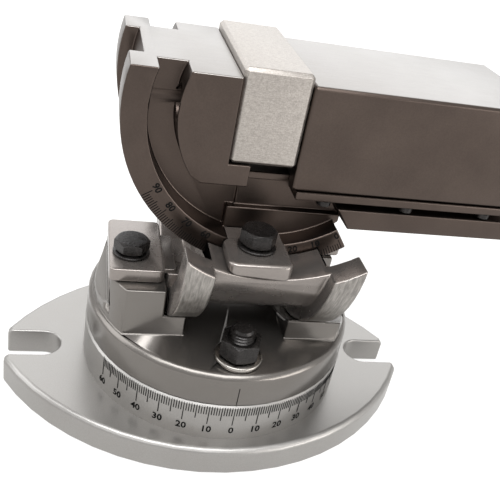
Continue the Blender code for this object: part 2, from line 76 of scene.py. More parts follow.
def addNode(tree, kind, inputs=(), **settings):
    made = tree.nodes.new(kind)
    for name, value in settings.items():
        setattr(made, name, value)
    for name, value in dict(inputs).items():
        if isinstance(value, bpy.types.NodeSocket):
            tree.links.new(value, made.inputs[name])
        else:
            made.inputs[name].default_value = value
    return made


def perMm(size):
    # the scale that makes a noise's features this many millimetres across
    return 1 / (size * mm)


# Finishes. Each takes its colours as sRGB, and its pattern sizes in millimetres.

def newFinish(name, metallic=1.0):
    material = bpy.data.materials.new(name)
    material.use_nodes = True
    tree = material.node_tree
    shader = tree.nodes["Principled BSDF"]
    shader.inputs["Metallic"].default_value = metallic
    place = addNode(tree, "ShaderNodeTexCoord").outputs["Object"]
    return material, tree, shader, place


# What the finishes share: a look gives only what is different about it. speck and streak are shares of the
# colour, and bump is the strength of a relief that is depthMm deep.
plainLook = {
    "metallic": 1.0, "specular": 0.5, "cloudMm": 30, "grainMm": 0.6, "lineMm": 0.9, "lay": (1, 1, 1),
    "speck": 0.05, "streak": 0.0, "roughVary": 0.03, "grainShare": 1.0, "bump": 0.10, "depthMm": 0.05,
    "middle": (0.35, 0.65), "roughMiddle": (0.3, 0.7)}


def varied(tree, noise, ends, around, by):
    # a noise's middle range spread to either side of a value
    return addNode(tree, "ShaderNodeMapRange", {
        "Value": noise.outputs["Fac"], "From Min": ends[0], "From Max": ends[1],
        "To Min": around - by, "To Max": around + by}).outputs["Result"]


def satinMetal(name, own):
    # soft clouding, fine grain and, where the lay is uneven, machining lines
    look = {**plainLook, **own}
    material, tree, shader, place = newFinish(name, look["metallic"])
    cloud = addNode(tree, "ShaderNodeTexNoise", {
        "Vector": place, "Scale": perMm(look["cloudMm"]), "Detail": 3.0, "Roughness": 0.55})
    grain = addNode(tree, "ShaderNodeTexNoise", {
        "Vector": place, "Scale": perMm(look["grainMm"]), "Detail": 2.0, "Roughness": 0.6})
    lay = addNode(tree, "ShaderNodeMapping", {"Vector": place, "Scale": look["lay"]})
    lines = addNode(tree, "ShaderNodeTexNoise", {
        "Vector": lay.outputs["Vector"], "Scale": perMm(look["lineMm"]), "Detail": 2.0, "Roughness": 0.5})
    # sockets 6 and 7 are the mix's two colours
    mixed = addNode(tree, "ShaderNodeMix", {
        "Factor": cloud.outputs["Fac"], 6: linear(look["dark"]), 7: linear(look["light"])},
        data_type="RGBA")
    both = addNode(tree, "ShaderNodeMath", {
        0: varied(tree, grain, look["middle"], 1, look["speck"]),
        1: varied(tree, lines, look["middle"], 1, look["streak"])}, operation="MULTIPLY")
    tint = addNode(tree, "ShaderNodeVectorMath", {
        0: mixed.outputs[2], "Scale": both.outputs["Value"]}, operation="SCALE")
    tree.links.new(tint.outputs["Vector"], shader.inputs["Base Color"])
    rough = varied(tree, cloud, look["roughMiddle"], look["rough"], look["roughVary"])
    tree.links.new(rough, shader.inputs["Roughness"])
    shader.inputs["Specular IOR Level"].default_value = look["specular"]
    relief = addNode(tree, "ShaderNodeMath", {
        0: grain.outputs["Fac"], 1: look["grainShare"], 2: lines.outputs["Fac"]}, operation="MULTIPLY_ADD")
    bump = addNode(tree, "ShaderNodeBump", {
        "Height": relief.outputs["Value"], "Strength": look["bump"], "Distance": look["depthMm"] * mm})
    tree.links.new(bump.outputs["Normal"], shader.inputs["Normal"])
    return material


# milled grey iron with a thin brown oil film: dark on its sides, bright where it turns up to the light
castIron = satinMetal("oiled_milled_cast_iron", {
    "light": "#564c46", "dark": "#423a36", "cloudMm": 26, "rough": 0.34})
# the same iron bead-finished for the saddle and clamps: greyer and paler
saddleIron = satinMetal("satin_grey_cast_iron", {
    "light": "#8d8681", "dark": "#7a7470", "cloudMm": 14, "rough": 0.26, "roughVary": 0.04, "bump": 0.12,
    "metallic": 0.8})
# the same iron as turned for the base and turntable, cleaner and paler
turnedIron = satinMetal("fine_turned_cast_iron", {
    "light": "#979592", "dark": "#8a8784", "speck": 0.04, "rough": 0.36, "metallic": 0.9})
turntableIron = satinMetal("polished_turned_cast_iron", {
    "light": "#716d69", "dark": "#65615d", "speck": 0.04, "rough": 0.24, "bump": 0.06, "metallic": 0.85})
# surface-ground top faces of the jaws
groundTop = satinMetal("surface_ground_iron", {
    "light": "#908c88", "dark": "#84807d", "cloudMm": 20, "lineMm": 0.5, "lay": (0.06, 1, 1),
    "speck": 0.03, "streak": 0.04, "rough": 0.32, "grainShare": 0.3, "depthMm": 0.03})
# coarse surface-ground tool steel: pale, with a sparkle of short scratches
groundSteel = satinMetal("coarse_ground_tool_steel", {
    "light": "#a8a29c", "dark": "#948e88", "cloudMm": 2.5, "grainMm": 0.5, "lineMm": 0.7, "lay": (0.35, 1, 1),
    "speck": 0.12, "streak": 0.08, "rough": 0.42, "roughVary": 0.05, "grainShare": 1.2, "bump": 0.4,
    "depthMm": 0.08})
# treads scraped bright along the way they rub
rubbedIron = satinMetal("rubbed_bright_cast_iron", {
    "light": "#9b9792", "dark": "#7d7975", "cloudMm": 6, "lineMm": 0.7, "lay": (1, 0.12, 0.12),
    "speck": 0.06, "streak": 0.22, "rough": 0.38, "roughVary": 0.05, "grainShare": 0.4, "bump": 0.25})
# steel with a hot black oxide, left oily
blackOxide = satinMetal("oiled_black_oxide_steel", {
    "light": "#322f2e", "dark": "#1b1a19", "cloudMm": 3, "speck": 0.3, "streak": 0.1, "rough": 0.27,
    "roughVary": 0.08, "bump": 0.5, "depthMm": 0.12, "metallic": 0.7})
# bright turned steel of washers, screw and pins
brightSteel = satinMetal("bright_turned_steel", {
    "light": "#a8a49e", "dark": "#948f8a", "cloudMm": 8, "grainMm": 0.5, "lineMm": 0.7, "lay": (6, 1, 1),
    "streak": 0.08, "rough": 0.26, "roughVary": 0.05, "grainShare": 0.5, "bump": 0.12})
# cast bronze of the feed nut
bronze = satinMetal("cast_bronze", {
    "light": "#a47a49", "dark": "#85603a", "cloudMm": 6, "lineMm": 0.8, "speck": 0.06, "rough": 0.34,
    "roughVary": 0.05, "bump": 0.15})
# compression-moulded phenolic: near-black plastic with a soft gloss
phenolic = satinMetal("moulded_phenolic", {
    "light": "#1f1e1e", "dark": "#141313", "cloudMm": 10, "grainMm": 0.8, "lineMm": 1.2, "rough": 0.28,
    "roughVary": 0.04, "bump": 0.05, "metallic": 0.0})
# black paint wiped into stamped marks: dull and a little uneven
markInk = satinMetal("black_paint_in_stamped_marks", {
    "light": "#0d0c0c", "dark": "#050505", "cloudMm": 1.5, "grainMm": 0.5, "lineMm": 0.8, "speck": 0.2,
    "rough": 0.8, "roughVary": 0.05, "depthMm": 0.02, "metallic": 0.0, "specular": 0.1})
print("finishes made")


# Mesh helpers

def newObject(name, mesh, *finishes):
    obj = bpy.data.objects.new(name, mesh)
    bpy.context.scene.collection.objects.link(obj)
    for finish in finishes:
        mesh.materials.append(finish)
    return obj


def putMesh(name, bm, *finishes, sharp=30):
    mesh = bpy.data.meshes.new(name)
    bm.to_mesh(mesh)
    bm.free()
    mesh.shade_smooth()
    if sharp:
        mesh.set_sharp_from_angle(angle=math.radians(sharp))
    return newObject(name, mesh, *finishes)


def applied(obj):
    # the modifiers' result becomes the object's own mesh
    graph = bpy.context.evaluated_depsgraph_get()
    mesh = bpy.data.meshes.new_from_object(obj.evaluated_get(graph))
    obj.modifiers.clear()
    obj.data = mesh
    return obj


def ease(obj, widthMm, segments=2, sharp=28, corners="all"):
    # corners may be "all", or "outer" to leave the inside corners as they are
    bevel = obj.modifiers.new("eased_edges", "BEVEL")
    bevel.width = widthMm * mm
    bevel.segments = segments
    bevel.limit_method = "ANGLE"
    bevel.angle_limit = math.radians(sharp)
    if corners == "outer":
        bm = bmesh.new()
        bm.from_mesh(obj.data)
        weight = bm.edges.layers.float.new("bevel_weight_edge")
        for edge in bm.edges:
            turned = edge.calc_face_angle(0) > math.radians(sharp)
            edge[weight] = float(turned and edge.is_convex)
            edge.smooth = not turned
        bm.to_mesh(obj.data)
        bm.free()
        bevel.limit_method = "WEIGHT"
    bevel.harden_normals = True
    bevel.use_clamp_overlap = False
    return applied(obj)


def standing(spot, axis=upZ):
    # turns a shape made round Z to stand on this spot, along this axis
    return Matrix.Translation(spot) @ Vector(axis).to_track_quat("Z", "Y").to_matrix().to_4x4()


def hexRadius(flats, turn):
    # distance to a hexagon's side, in the direction of this turn
    return flats / 2 / math.cos((turn + math.pi / 6) % (math.pi / 3) - math.pi / 6)


def loft(bm, rows, closeStart=True, closeEnd=True):
    # rings of points joined one to the next; the ends are filled
    rings = [[bm.verts.new(point) for point in row] for row in rows]
    count = len(rings[0])
    for lower, upper in zip(rings, rings[1:]):
        for i in range(count):
            bm.faces.new((lower[i], lower[(i + 1) % count], upper[(i + 1) % count], upper[i]))
    if closeStart:
        bm.faces.new(rings[0][::-1])
    if closeEnd:
        bm.faces.new(rings[-1])
    return rings


def ring(radius, z, steps=48):
    # one ring of a loft; radius is a number, or a rule that takes the turn; so is z
    points = []
    for i in range(steps):
        turn = 2 * math.pi * i / steps
        r = radius(turn) if callable(radius) else radius
        points.append((r * math.cos(turn), r * math.sin(turn), z(turn) if callable(z) else z))
    return points


def tidy(bm, matrix=Matrix()):
    bmesh.ops.remove_doubles(bm, verts=bm.verts, dist=0.000001)
    bmesh.ops.transform(bm, matrix=matrix, verts=bm.verts)
    bmesh.ops.recalc_face_normals(bm, faces=bm.faces)
    return bm


def hexShape(flats, low, high, bore=0.0, washerFace=0.0004, lead=0.0008):
    # hexagon head or nut: both ends turned off at 30 degrees, with a washer face below
    def side(turn):
        return hexRadius(flats, turn)
    cone = math.tan(math.radians(30))
    flat = flats / 2 - washerFace
    base = low + washerFace
    rows = [ring(flat, low), ring(flat, base),
            ring(side, lambda turn: base + (side(turn) - flat) * cone),
            ring(side, lambda turn: high - (side(turn) - flat) * cone), ring(flat, high)]
    if bore:
        rows += [ring(bore + lead, high), ring(bore, high - lead), ring(bore, low)]
    bm = bmesh.new()
    if bore:
        loft(bm, rows + [rows[0]], False, False)
    else:
        loft(bm, rows)
    return bm


def turnedShape(profile, steps=48, closed=False):
    # a solid of revolution from (radius, height) points
    bm = bmesh.new()
    rows = [ring(r, z, steps) for r, z in profile]
    loft(bm, rows + rows[:1] if closed else rows, not closed, not closed)
    return bm


squareForm = ((0, 1), (0.12, 0), (0.5, 0), (0.62, 1))
metricForm = ((0, 1), (0.45, 0), (0.55, 0))


def threadShape(radius, depth, pitch, low, high, hand=1, form=squareForm, steps=36):
    # screw thread round Z: each form point is (share of the pitch, share of the depth)
    rows = []
    turns = int(math.ceil((high - low) / pitch)) + 2
    for k in range(-1, turns):
        for share, sunk in form:
            row = []
            for i in range(steps):
                turn = 2 * math.pi * i / steps
                z = low + pitch * (k + share + hand * i / steps)
                row.append((z, turn, radius - depth * sunk))
            rows.append(row)
    bm = bmesh.new()
    grid = [[bm.verts.new((r * math.cos(t), r * math.sin(t), min(max(z, low), high))) for z, t, r in row]
            for row in rows]
    jump = len(form) * (1 if hand > 0 else -1)
    for a in range(len(grid) - 1):
        for i in range(steps):
            j = (i + 1) % steps
            shift = jump if j == 0 else 0
            if not (0 <= a + shift and a + 1 + shift < len(grid)):
                continue
            corners = (grid[a][i], grid[a + shift][j], grid[a + 1 + shift][j], grid[a + 1][i])
            if len({tuple(round(c, 7) for c in v.co) for v in corners}) > 2:
                bm.faces.new(corners)
    bmesh.ops.remove_doubles(bm, verts=bm.verts, dist=0.000002)
    flatFaces = [f for f in bm.faces if f.calc_area() < 1e-12]
    bmesh.ops.delete(bm, geom=flatFaces, context="FACES")
    bmesh.ops.delete(bm, geom=[v for v in bm.verts if not v.link_faces], context="VERTS")
    return bm


def gathered(name, shapes, *finishes, sharp=30):
    # several closed shapes as one piece; each shape comes with its place
    whole = bmesh.new()
    for shape, matrix in shapes:
        tidy(shape, matrix)
        mesh = bpy.data.meshes.new("shape")
        shape.to_mesh(mesh)
        shape.free()
        whole.from_mesh(mesh)
        bpy.data.meshes.remove(mesh)
    return putMesh(name, whole, *finishes, sharp=sharp)


def middle(node):
    low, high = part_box(node)
    return (low + high) / 2


def stands(obj, slotName, *replaced):
    # the piece rides with the nodes that it stands for
    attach(obj, bodyOf[replaced[0]])
    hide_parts(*replaced)


# Castings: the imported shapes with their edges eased, so that they catch the light

castings = {
    "base_plate": {"edgeMm": 1.1, "finish": turnedIron, "corners": "outer"},
    "swivel_body": {"edgeMm": 0.9, "finish": turntableIron, "wholeFaces": False},
    "saddle": {"edgeMm": 1.3, "finish": saddleIron},
    "vise_body": {"edgeMm": 0.7, "finish": castIron},
    "jaw_block": {"edgeMm": 0.35, "finish": groundSteel},
    "end_bracket": {"edgeMm": 0.7, "finish": castIron},
    "movable_jaw": {"edgeMm": 0.5, "finish": castIron},
    "keeper_strip_front": {"edgeMm": 0.4, "finish": castIron},
    "keeper_strip_rear": {"edgeMm": 0.4, "finish": castIron},
    "crank_arm": {"edgeMm": 0.8, "finish": castIron},
    "crank_grip": {"edgeMm": 0.5, "finish": phenolic},
    "screw_nut": {"edgeMm": 0.4, "finish": bronze},
}
slotOf = {groundSteel: "ground_steel", phenolic: "phenolic", bronze: "bronze"}


def mergedShape(node, wholeFaces=True):
    # the node's triangles joined up again, with flat faces made whole where they have no holes in them
    bm = bmesh.new()
    bm.from_mesh(nodes[node].data)
    bmesh.ops.remove_doubles(bm, verts=bm.verts, dist=0.00002)
    if wholeFaces:
        bmesh.ops.dissolve_limit(bm, angle_limit=math.radians(0.5), verts=bm.verts, edges=bm.edges)
    return bm


rubbed = {"outward": 0.9, "beyond": 0.067}
ground = {"upward": 0.95, "above": 0.18}


def isRubbed(spot, facing):
    # the outer faces of the saddle's two treads, which turn about the swing axis
    swing = Vector((0, spot.y, spot.z - pivotOf["saddle_swing"][2]))
    outward = facing.dot(swing.normalized())
    return outward > rubbed["outward"] and swing.length > rubbed["beyond"]


def isGroundTop(spot, facing):
    return facing.z > ground["upward"] and spot.z > ground["above"]


secondFinish = {"saddle": (rubbedIron, isRubbed), "vise_body": (groundTop, isGroundTop),
                "movable_jaw": (groundTop, isGroundTop)}

for node, casting in castings.items():
    shape = mergedShape(node, casting.get("wholeFaces", True))
    obj = putMesh(node + "_eased", shape, casting["finish"], sharp=None)
    if node in secondFinish:
        finish, test = secondFinish[node]
        obj.data.materials.append(finish)
        for face in obj.data.polygons:
            face.material_index = int(test(face.center, face.normal))
    ease(obj, casting["edgeMm"], 3, corners=casting.get("corners", "all"))
    stands(obj, slotOf.get(casting["finish"], "machined_iron"), node)
print("castings made")


# Clamps: thick plates with well rounded corners, and a nose that reaches over what they hold

def plateRing(low, high, corner, inset, z, steps=6):
    # one level of a plate with round corners; z is a number, or a rule that takes x
    points = []
    r = max(corner - inset, 0.0003)
    near, far = (low.x + corner, low.y + corner), (high.x - corner, high.y - corner)
    for i, (cx, cy) in enumerate((far, (near[0], far[1]), near, (far[0], near[1]))):
        for k in range(steps + 1):
            turn = math.pi / 2 * (i + k / steps)
            x, y = cx + r * math.cos(turn), cy + r * math.sin(turn)
            points.append((x, y, z(x) if callable(z) else z))
    return points


def roundedPlate(low, high, corner, ease, foot=None, steps=5):
    # foot is a rule for the underside's height, where that is not flat
    under = foot or (lambda x: low.z)
    rows = []
    for k in range(steps + 1):
        turn = math.pi / 2 * k / steps
        inset, rise = ease * (1 - math.sin(turn)), ease * (1 - math.cos(turn))
        rows.append(plateRing(low, high, corner, inset, lambda x, rise=rise: under(x) + rise))
    for k in range(steps + 1):
        turn = math.pi / 2 * k / steps
        inset, drop = ease * (1 - math.cos(turn)), ease * (1 - math.sin(turn))
        rows.append(plateRing(low, high, corner, inset, high.z - drop))
    bm = bmesh.new()
    loft(bm, rows)
    return bm


tiltClamp = {"corner": 0.0042, "ease": 0.0016, "seat": 0.0379, "nose": 0.0283, "noseRoot": 0.006,
             "noseSide": 0.0012, "noseEnd": 0.0005, "shelf": 0.0637, "arc": 0.0587}
tiltAxis = Vector(pivotOf["body_tilt"])


def underArc(radius):
    # height of a circle round the tilt axis, below that axis
    return lambda x: tiltAxis.z - math.sqrt(radius ** 2 - (x - tiltAxis.x) ** 2)


for side, name in ((-1, "front"), (1, "rear")):
    node = "tilt_clamp_" + name
    low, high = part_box(node)
    ends = sorted((side * tiltClamp["seat"], high.y if side > 0 else low.y))
    plate = roundedPlate(Vector((low.x, ends[0], low.z)), Vector((high.x, ends[1], high.z)),
                         tiltClamp["corner"], tiltClamp["ease"], underArc(tiltClamp["shelf"]))
    noseY = sorted((side * tiltClamp["nose"], side * (tiltClamp["seat"] + tiltClamp["noseRoot"])))
    top = high.z - gap
    reach = math.sqrt(tiltClamp["arc"] ** 2 - (tiltAxis.z - top) ** 2)
    xLow = max(low.x + tiltClamp["noseSide"], tiltAxis.x - reach + tiltClamp["noseEnd"])
    xHigh = min(high.x - tiltClamp["noseSide"], tiltAxis.x + reach)
    steps = 12
    under = [xLow + (xHigh - xLow) * k / steps for k in range(steps + 1)]
    outline = [(x, underArc(tiltClamp["arc"])(x)) for x in under] + [(xHigh, top), (xLow, top)]
    nose = bmesh.new()
    loft(nose, [[(x, y, z) for x, z in outline] for y in noseY])
    obj = gathered(node + "_rounded", [(plate, Matrix()), (nose, Matrix())], saddleIron, sharp=40)
    stands(obj, "machined_iron", node)

# the plate's inner end, and the corners of the nose that goes down beside the tread; the neck joins them
saddleClamps = {
    "saddle_clamp_left": {"end": -0.0362, "noseLow": (-0.0345, -0.026, 0.0700),
                          "noseHigh": (-0.0238, 0.008, 0.0803), "neck": (-0.0405, -0.0300, 0.0823)},
    "saddle_clamp_right": {"end": 0.0475, "noseLow": (0.0364, 0.010, 0.0700),
                           "noseHigh": (0.0460, 0.030, 0.0813), "neck": (0.0420, 0.0520, 0.0815)},
}
saddleClampShape = {"thick": 0.0067, "corner": 0.0028, "ease": 0.0009, "noseCorner": 0.0015,
                    "noseEase": 0.0006, "neckEase": 0.0004, "neckInset": 0.001}
for node, clamp in saddleClamps.items():
    low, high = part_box(node)
    shape = saddleClampShape
    seat = high.z - shape["thick"]
    near, far = (low.x, clamp["end"]) if clamp["end"] < 0 else (clamp["end"], high.x)
    plate = roundedPlate(Vector((near, low.y, seat)), Vector((far, high.y, high.z)),
                         shape["corner"], shape["ease"])
    noseLow, noseHigh = Vector(clamp["noseLow"]), Vector(clamp["noseHigh"])
    nose = roundedPlate(noseLow, noseHigh, shape["noseCorner"], shape["noseEase"])
    neckStart, neckEnd, neckTop = clamp["neck"]
    neckLow = Vector((neckStart, clamp["noseLow"][1] + shape["neckInset"], seat + shape["neckEase"]))
    neckHigh = Vector((neckEnd, clamp["noseHigh"][1] - shape["neckInset"], neckTop))
    neck = roundedPlate(neckLow, neckHigh, shape["noseCorner"], shape["neckEase"])
    shapes = [(part, Matrix()) for part in (plate, nose, neck)]
    obj = gathered(node + "_rounded", shapes, saddleIron, sharp=40)
    stands(obj, "machined_iron", node)
print("clamps made")


# Hexagon bolts, nuts and studs

bolts = {
    "saddle_clamp_bolt_left": {"flats": 0.015, "head": 0.0060, "shank": 0.005, "turn": 30},
    "saddle_clamp_bolt_right": {"flats": 0.015, "head": 0.0060, "shank": 0.005, "turn": 20},
    "tilt_clamp_bolt_front": {"flats": 0.0148, "head": 0.0075, "shank": 0.005, "turn": 30},
    "tilt_clamp_bolt_rear": {"flats": 0.0148, "head": 0.0075, "shank": 0.005, "turn": 30},
}
hexEdgeMm = 0.22
shankLead = 0.001
for node, bolt in bolts.items():
    low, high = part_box(node)
    spot = (middle(node).x, middle(node).y, high.z - bolt["head"])
    turned = standing(spot) @ Matrix.Rotation(math.radians(bolt["turn"]), 4, "Z")
    reach = low.z - spot[2]
    radius = bolt["shank"]
    shank = turnedShape([(radius - shankLead, reach), (radius, reach + shankLead), (radius, shankLead)])
    head = hexShape(bolt["flats"], 0, bolt["head"])
    obj = gathered(node + "_forged", [(head, turned), (shank, turned)], blackOxide)
    ease(obj, hexEdgeMm, 2)
    stands(obj, "black_oxide", node)

nut = {"flats": 0.018, "bore": 0.0061, "turn": 42.5}
stud = {"radius": 0.006, "pitch": 0.00175, "depth": 0.0009, "head": 0.0095, "headTop": 0.0082,
        "plain": 0.004, "lead": 0.0012, "tip": 0.0008}
for side in ("front", "rear"):
    node = "swivel_nut_" + side
    low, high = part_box(node)
    spot = (middle(node).x, middle(node).y, low.z)
    turned = standing(spot) @ Matrix.Rotation(math.radians(nut["turn"]), 4, "Z")
    body = hexShape(nut["flats"], 0, high.z - low.z, nut["bore"])
    obj = gathered(node + "_faced", [(body, turned)], blackOxide)
    ease(obj, hexEdgeMm, 2)
    stands(obj, "black_oxide", node)
    node = "swivel_t_bolt_" + side
    low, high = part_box(node)
    spot = (middle(node).x, middle(node).y, 0)
    headTop = low.z + stud["headTop"]
    square = [(stud["head"] * x, stud["head"] * y) for x, y in ((1, 1), (-1, 1), (-1, -1), (1, -1))]
    foot = bmesh.new()
    loft(foot, [[(x, y, z) for x, y in square] for z in (low.z, headTop)])
    core = stud["radius"] - stud["depth"]
    end = turnedShape([(core, headTop), (core, high.z - stud["lead"]), (core - stud["tip"], high.z)])
    thread = threadShape(stud["radius"], stud["depth"], stud["pitch"], headTop + stud["plain"],
                         high.z - stud["lead"] - 0.0001, form=metricForm)
    shapes = [(shape, standing(spot)) for shape in (foot, end, thread)]
    obj = gathered(node + "_threaded", shapes, blackOxide)
    stands(obj, "black_oxide", node)
print("bolts, nuts and studs made")

washers = {
    "swivel_washer_front": (0.0115, 0.0064, brightSteel),
    "swivel_washer_rear": (0.0115, 0.0064, brightSteel),
    "saddle_clamp_washer_left": (0.0089, 0.0053, blackOxide),
    "saddle_clamp_washer_right": (0.0089, 0.0053, blackOxide),
    "tilt_clamp_washer_front": (0.0089, 0.0053, blackOxide),
    "tilt_clamp_washer_rear": (0.0089, 0.0053, blackOxide),
}
worn = 0.0004
for node, (outer, inner, finish) in washers.items():
    low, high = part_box(node)
    thick = high.z - low.z
    profile = [(inner, 0), (outer - worn, 0), (outer, worn), (outer, thick - worn),
               (outer - worn, thick), (inner + worn / 2, thick), (inner, thick - worn / 2)]
    spot = (middle(node).x, middle(node).y, low.z)
    shape = turnedShape(profile, closed=True)
    obj = gathered(node + "_turned", [(shape, standing(spot))], finish, sharp=50)
    stands(obj, "bright_steel" if finish is brightSteel else "black_oxide", node)
print("washers made")


# Socket screws: one screw shape, repeated on a cloud of places by a node tree

def socketScrew(radius, head, shank, reach, edge=0.0004, lead=0.0003):
    socket = radius * 0.62
    floor = head * 0.45

    def hexagonal(turn):
        return hexRadius(socket * 2 * math.cos(math.pi / 6), turn)
    rows = [ring(shank, -reach), ring(shank, 0), ring(radius, 0), ring(radius, head - edge),
            ring(radius - edge, head), ring(lambda turn: hexagonal(turn) + lead, head),
            ring(hexagonal, head - lead), ring(hexagonal, floor)]
    bm = bmesh.new()
    loft(bm, rows)
    return tidy(bm)


def screwTree():
    tree = bpy.data.node_groups.new("screws_on_places", "GeometryNodeTree")
    tree.interface.new_socket("Places", in_out="INPUT", socket_type="NodeSocketGeometry")
    for label, kind in (("Screw", "Object"), ("Turn", "Vector"), ("Finish", "Material")):
        tree.interface.new_socket(label, in_out="INPUT", socket_type="NodeSocket" + kind)
    tree.interface.new_socket("Screws", in_out="OUTPUT", socket_type="NodeSocketGeometry")
    given = addNode(tree, "NodeGroupInput").outputs
    screw = addNode(tree, "GeometryNodeObjectInfo", {"Object": given["Screw"]})
    placed = addNode(tree, "GeometryNodeInstanceOnPoints", {
        "Points": given["Places"], "Instance": screw.outputs["Geometry"], "Rotation": given["Turn"]})
    real = addNode(tree, "GeometryNodeRealizeInstances", {"Geometry": placed.outputs["Instances"]})
    coated = addNode(tree, "GeometryNodeSetMaterial", {
        "Geometry": real.outputs["Geometry"], "Material": given["Finish"]})
    addNode(tree, "NodeGroupOutput", {"Screws": coated.outputs["Geometry"]})
    return tree


def withNodes(obj, tree, **values):
    # a node tree on an object, its inputs found by name, applied at once
    modifier = obj.modifiers.new(tree.name, "NODES")
    modifier.node_group = tree
    for item in tree.interface.items_tree:
        if item.in_out == "INPUT" and item.name in values:
            modifier[item.identifier] = values[item.name]
    return applied(obj)


screwsOnPlaces = screwTree()
screwSets = {
    "keeper_screws": {
        "nodes": [f"keeper_screw_{side}_{i}" for side in ("front", "rear") for i in (1, 2, 3)],
        "radius": 0.0034, "head": 0.0026, "shank": 0.002, "axis": (0, 0, -1)},
    "end_bracket_screws": {
        "nodes": [f"end_bracket_screw_{i}" for i in (1, 2, 3, 4)],
        "radius": 0.0043, "head": 0.0048, "shank": 0.0025, "axis": (1, 0, 0)},
    "jaw_block_screws": {
        "nodes": ["jaw_block_screw_front", "jaw_block_screw_rear"],
        "radius": 0.0065, "head": 0.0078, "shank": 0.004, "axis": (-1, 0, 0)},
    "crank_hub_screw": {
        "nodes": ["crank_screw"], "radius": 0.0090, "head": 0.0030, "shank": 0.0026, "axis": (1, 0, 0)},
}
for name, kit in screwSets.items():
    axis = Vector(kit["axis"])
    places = []
    for node in kit["nodes"]:
        low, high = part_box(node)
        length = abs((high - low).dot(axis))
        places.append(middle(node) + axis * (length / 2 - kit["head"]))
    bm = socketScrew(kit["radius"], kit["head"], kit["shank"], length - kit["head"])
    pattern = putMesh(name + "_pattern", bm, blackOxide)
    mesh = bpy.data.meshes.new(name)
    mesh.from_pydata([tuple(p) for p in places], [], [])
    turn = axis.to_track_quat("Z", "Y").to_euler()
    obj = withNodes(newObject(name, mesh), screwsOnPlaces,
                    Screw=pattern, Turn=tuple(turn), Finish=blackOxide)
    bpy.data.objects.remove(pattern)
    stands(obj, "black_oxide", *kit["nodes"])
print("socket screws made")


# Lead screw, with its left-hand square thread

leadScrew = {
    "radius": 0.0075, "depth": 0.0011, "pitch": 0.004, "edge": 0.0004, "tip": 0.001, "lead": 0.0012,
    "collar": 0.0115, "collarBack": 0.0038, "journal": 0.0065, "shoulder": 0.0178,
    "end": 0.0058, "endLead": 0.0008, "tapping": 0.0029, "tappingDeep": 0.012,
}
low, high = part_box("lead_screw")
spot = (0, middle("lead_screw").y, middle("lead_screw").z)
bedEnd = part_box("vise_body")[1].x
edge, end = leadScrew["edge"], high.x
core = leadScrew["radius"] - leadScrew["depth"]
back, front, shoulder = bedEnd - leadScrew["collarBack"], bedEnd - gap, bedEnd + leadScrew["shoulder"]
shaft = turnedShape([
    (core - leadScrew["tip"], low.x), (core, low.x + leadScrew["lead"]), (core, back),
    (leadScrew["collar"] - edge, back), (leadScrew["collar"], back + edge),
    (leadScrew["collar"], front - edge), (leadScrew["collar"] - edge, front),
    (leadScrew["journal"], front), (leadScrew["journal"], shoulder),
    (leadScrew["end"], shoulder), (leadScrew["end"], end - leadScrew["endLead"]),
    (leadScrew["end"] - leadScrew["endLead"], end), (leadScrew["tapping"], end),
    (leadScrew["tapping"], end - leadScrew["tappingDeep"])])
thread = threadShape(leadScrew["radius"], leadScrew["depth"], leadScrew["pitch"],
                     low.x + leadScrew["lead"] + 0.0001, back - edge, hand=-1)
shapes = [(shape, standing(spot, alongX)) for shape in (shaft, thread)]
obj = gathered("lead_screw_threaded", shapes, brightSteel)
stands(obj, "bright_steel", "lead_screw")

for node, finish, slotName in (("swivel_pivot", brightSteel, "bright_steel"),
                               ("grip_pin", brightSteel, "bright_steel"),
                               ("thrust_washer", brightSteel, "bright_steel"),
                               ("retaining_collar", blackOxide, "black_oxide")):
    obj = putMesh(node + "_eased", mergedShape(node), finish, sharp=None)
    ease(obj, 0.3, 2)
    stands(obj, slotName, node)
print("screw and pins made")


# Graduations: stamped degree marks, made by one node tree for each kind of face

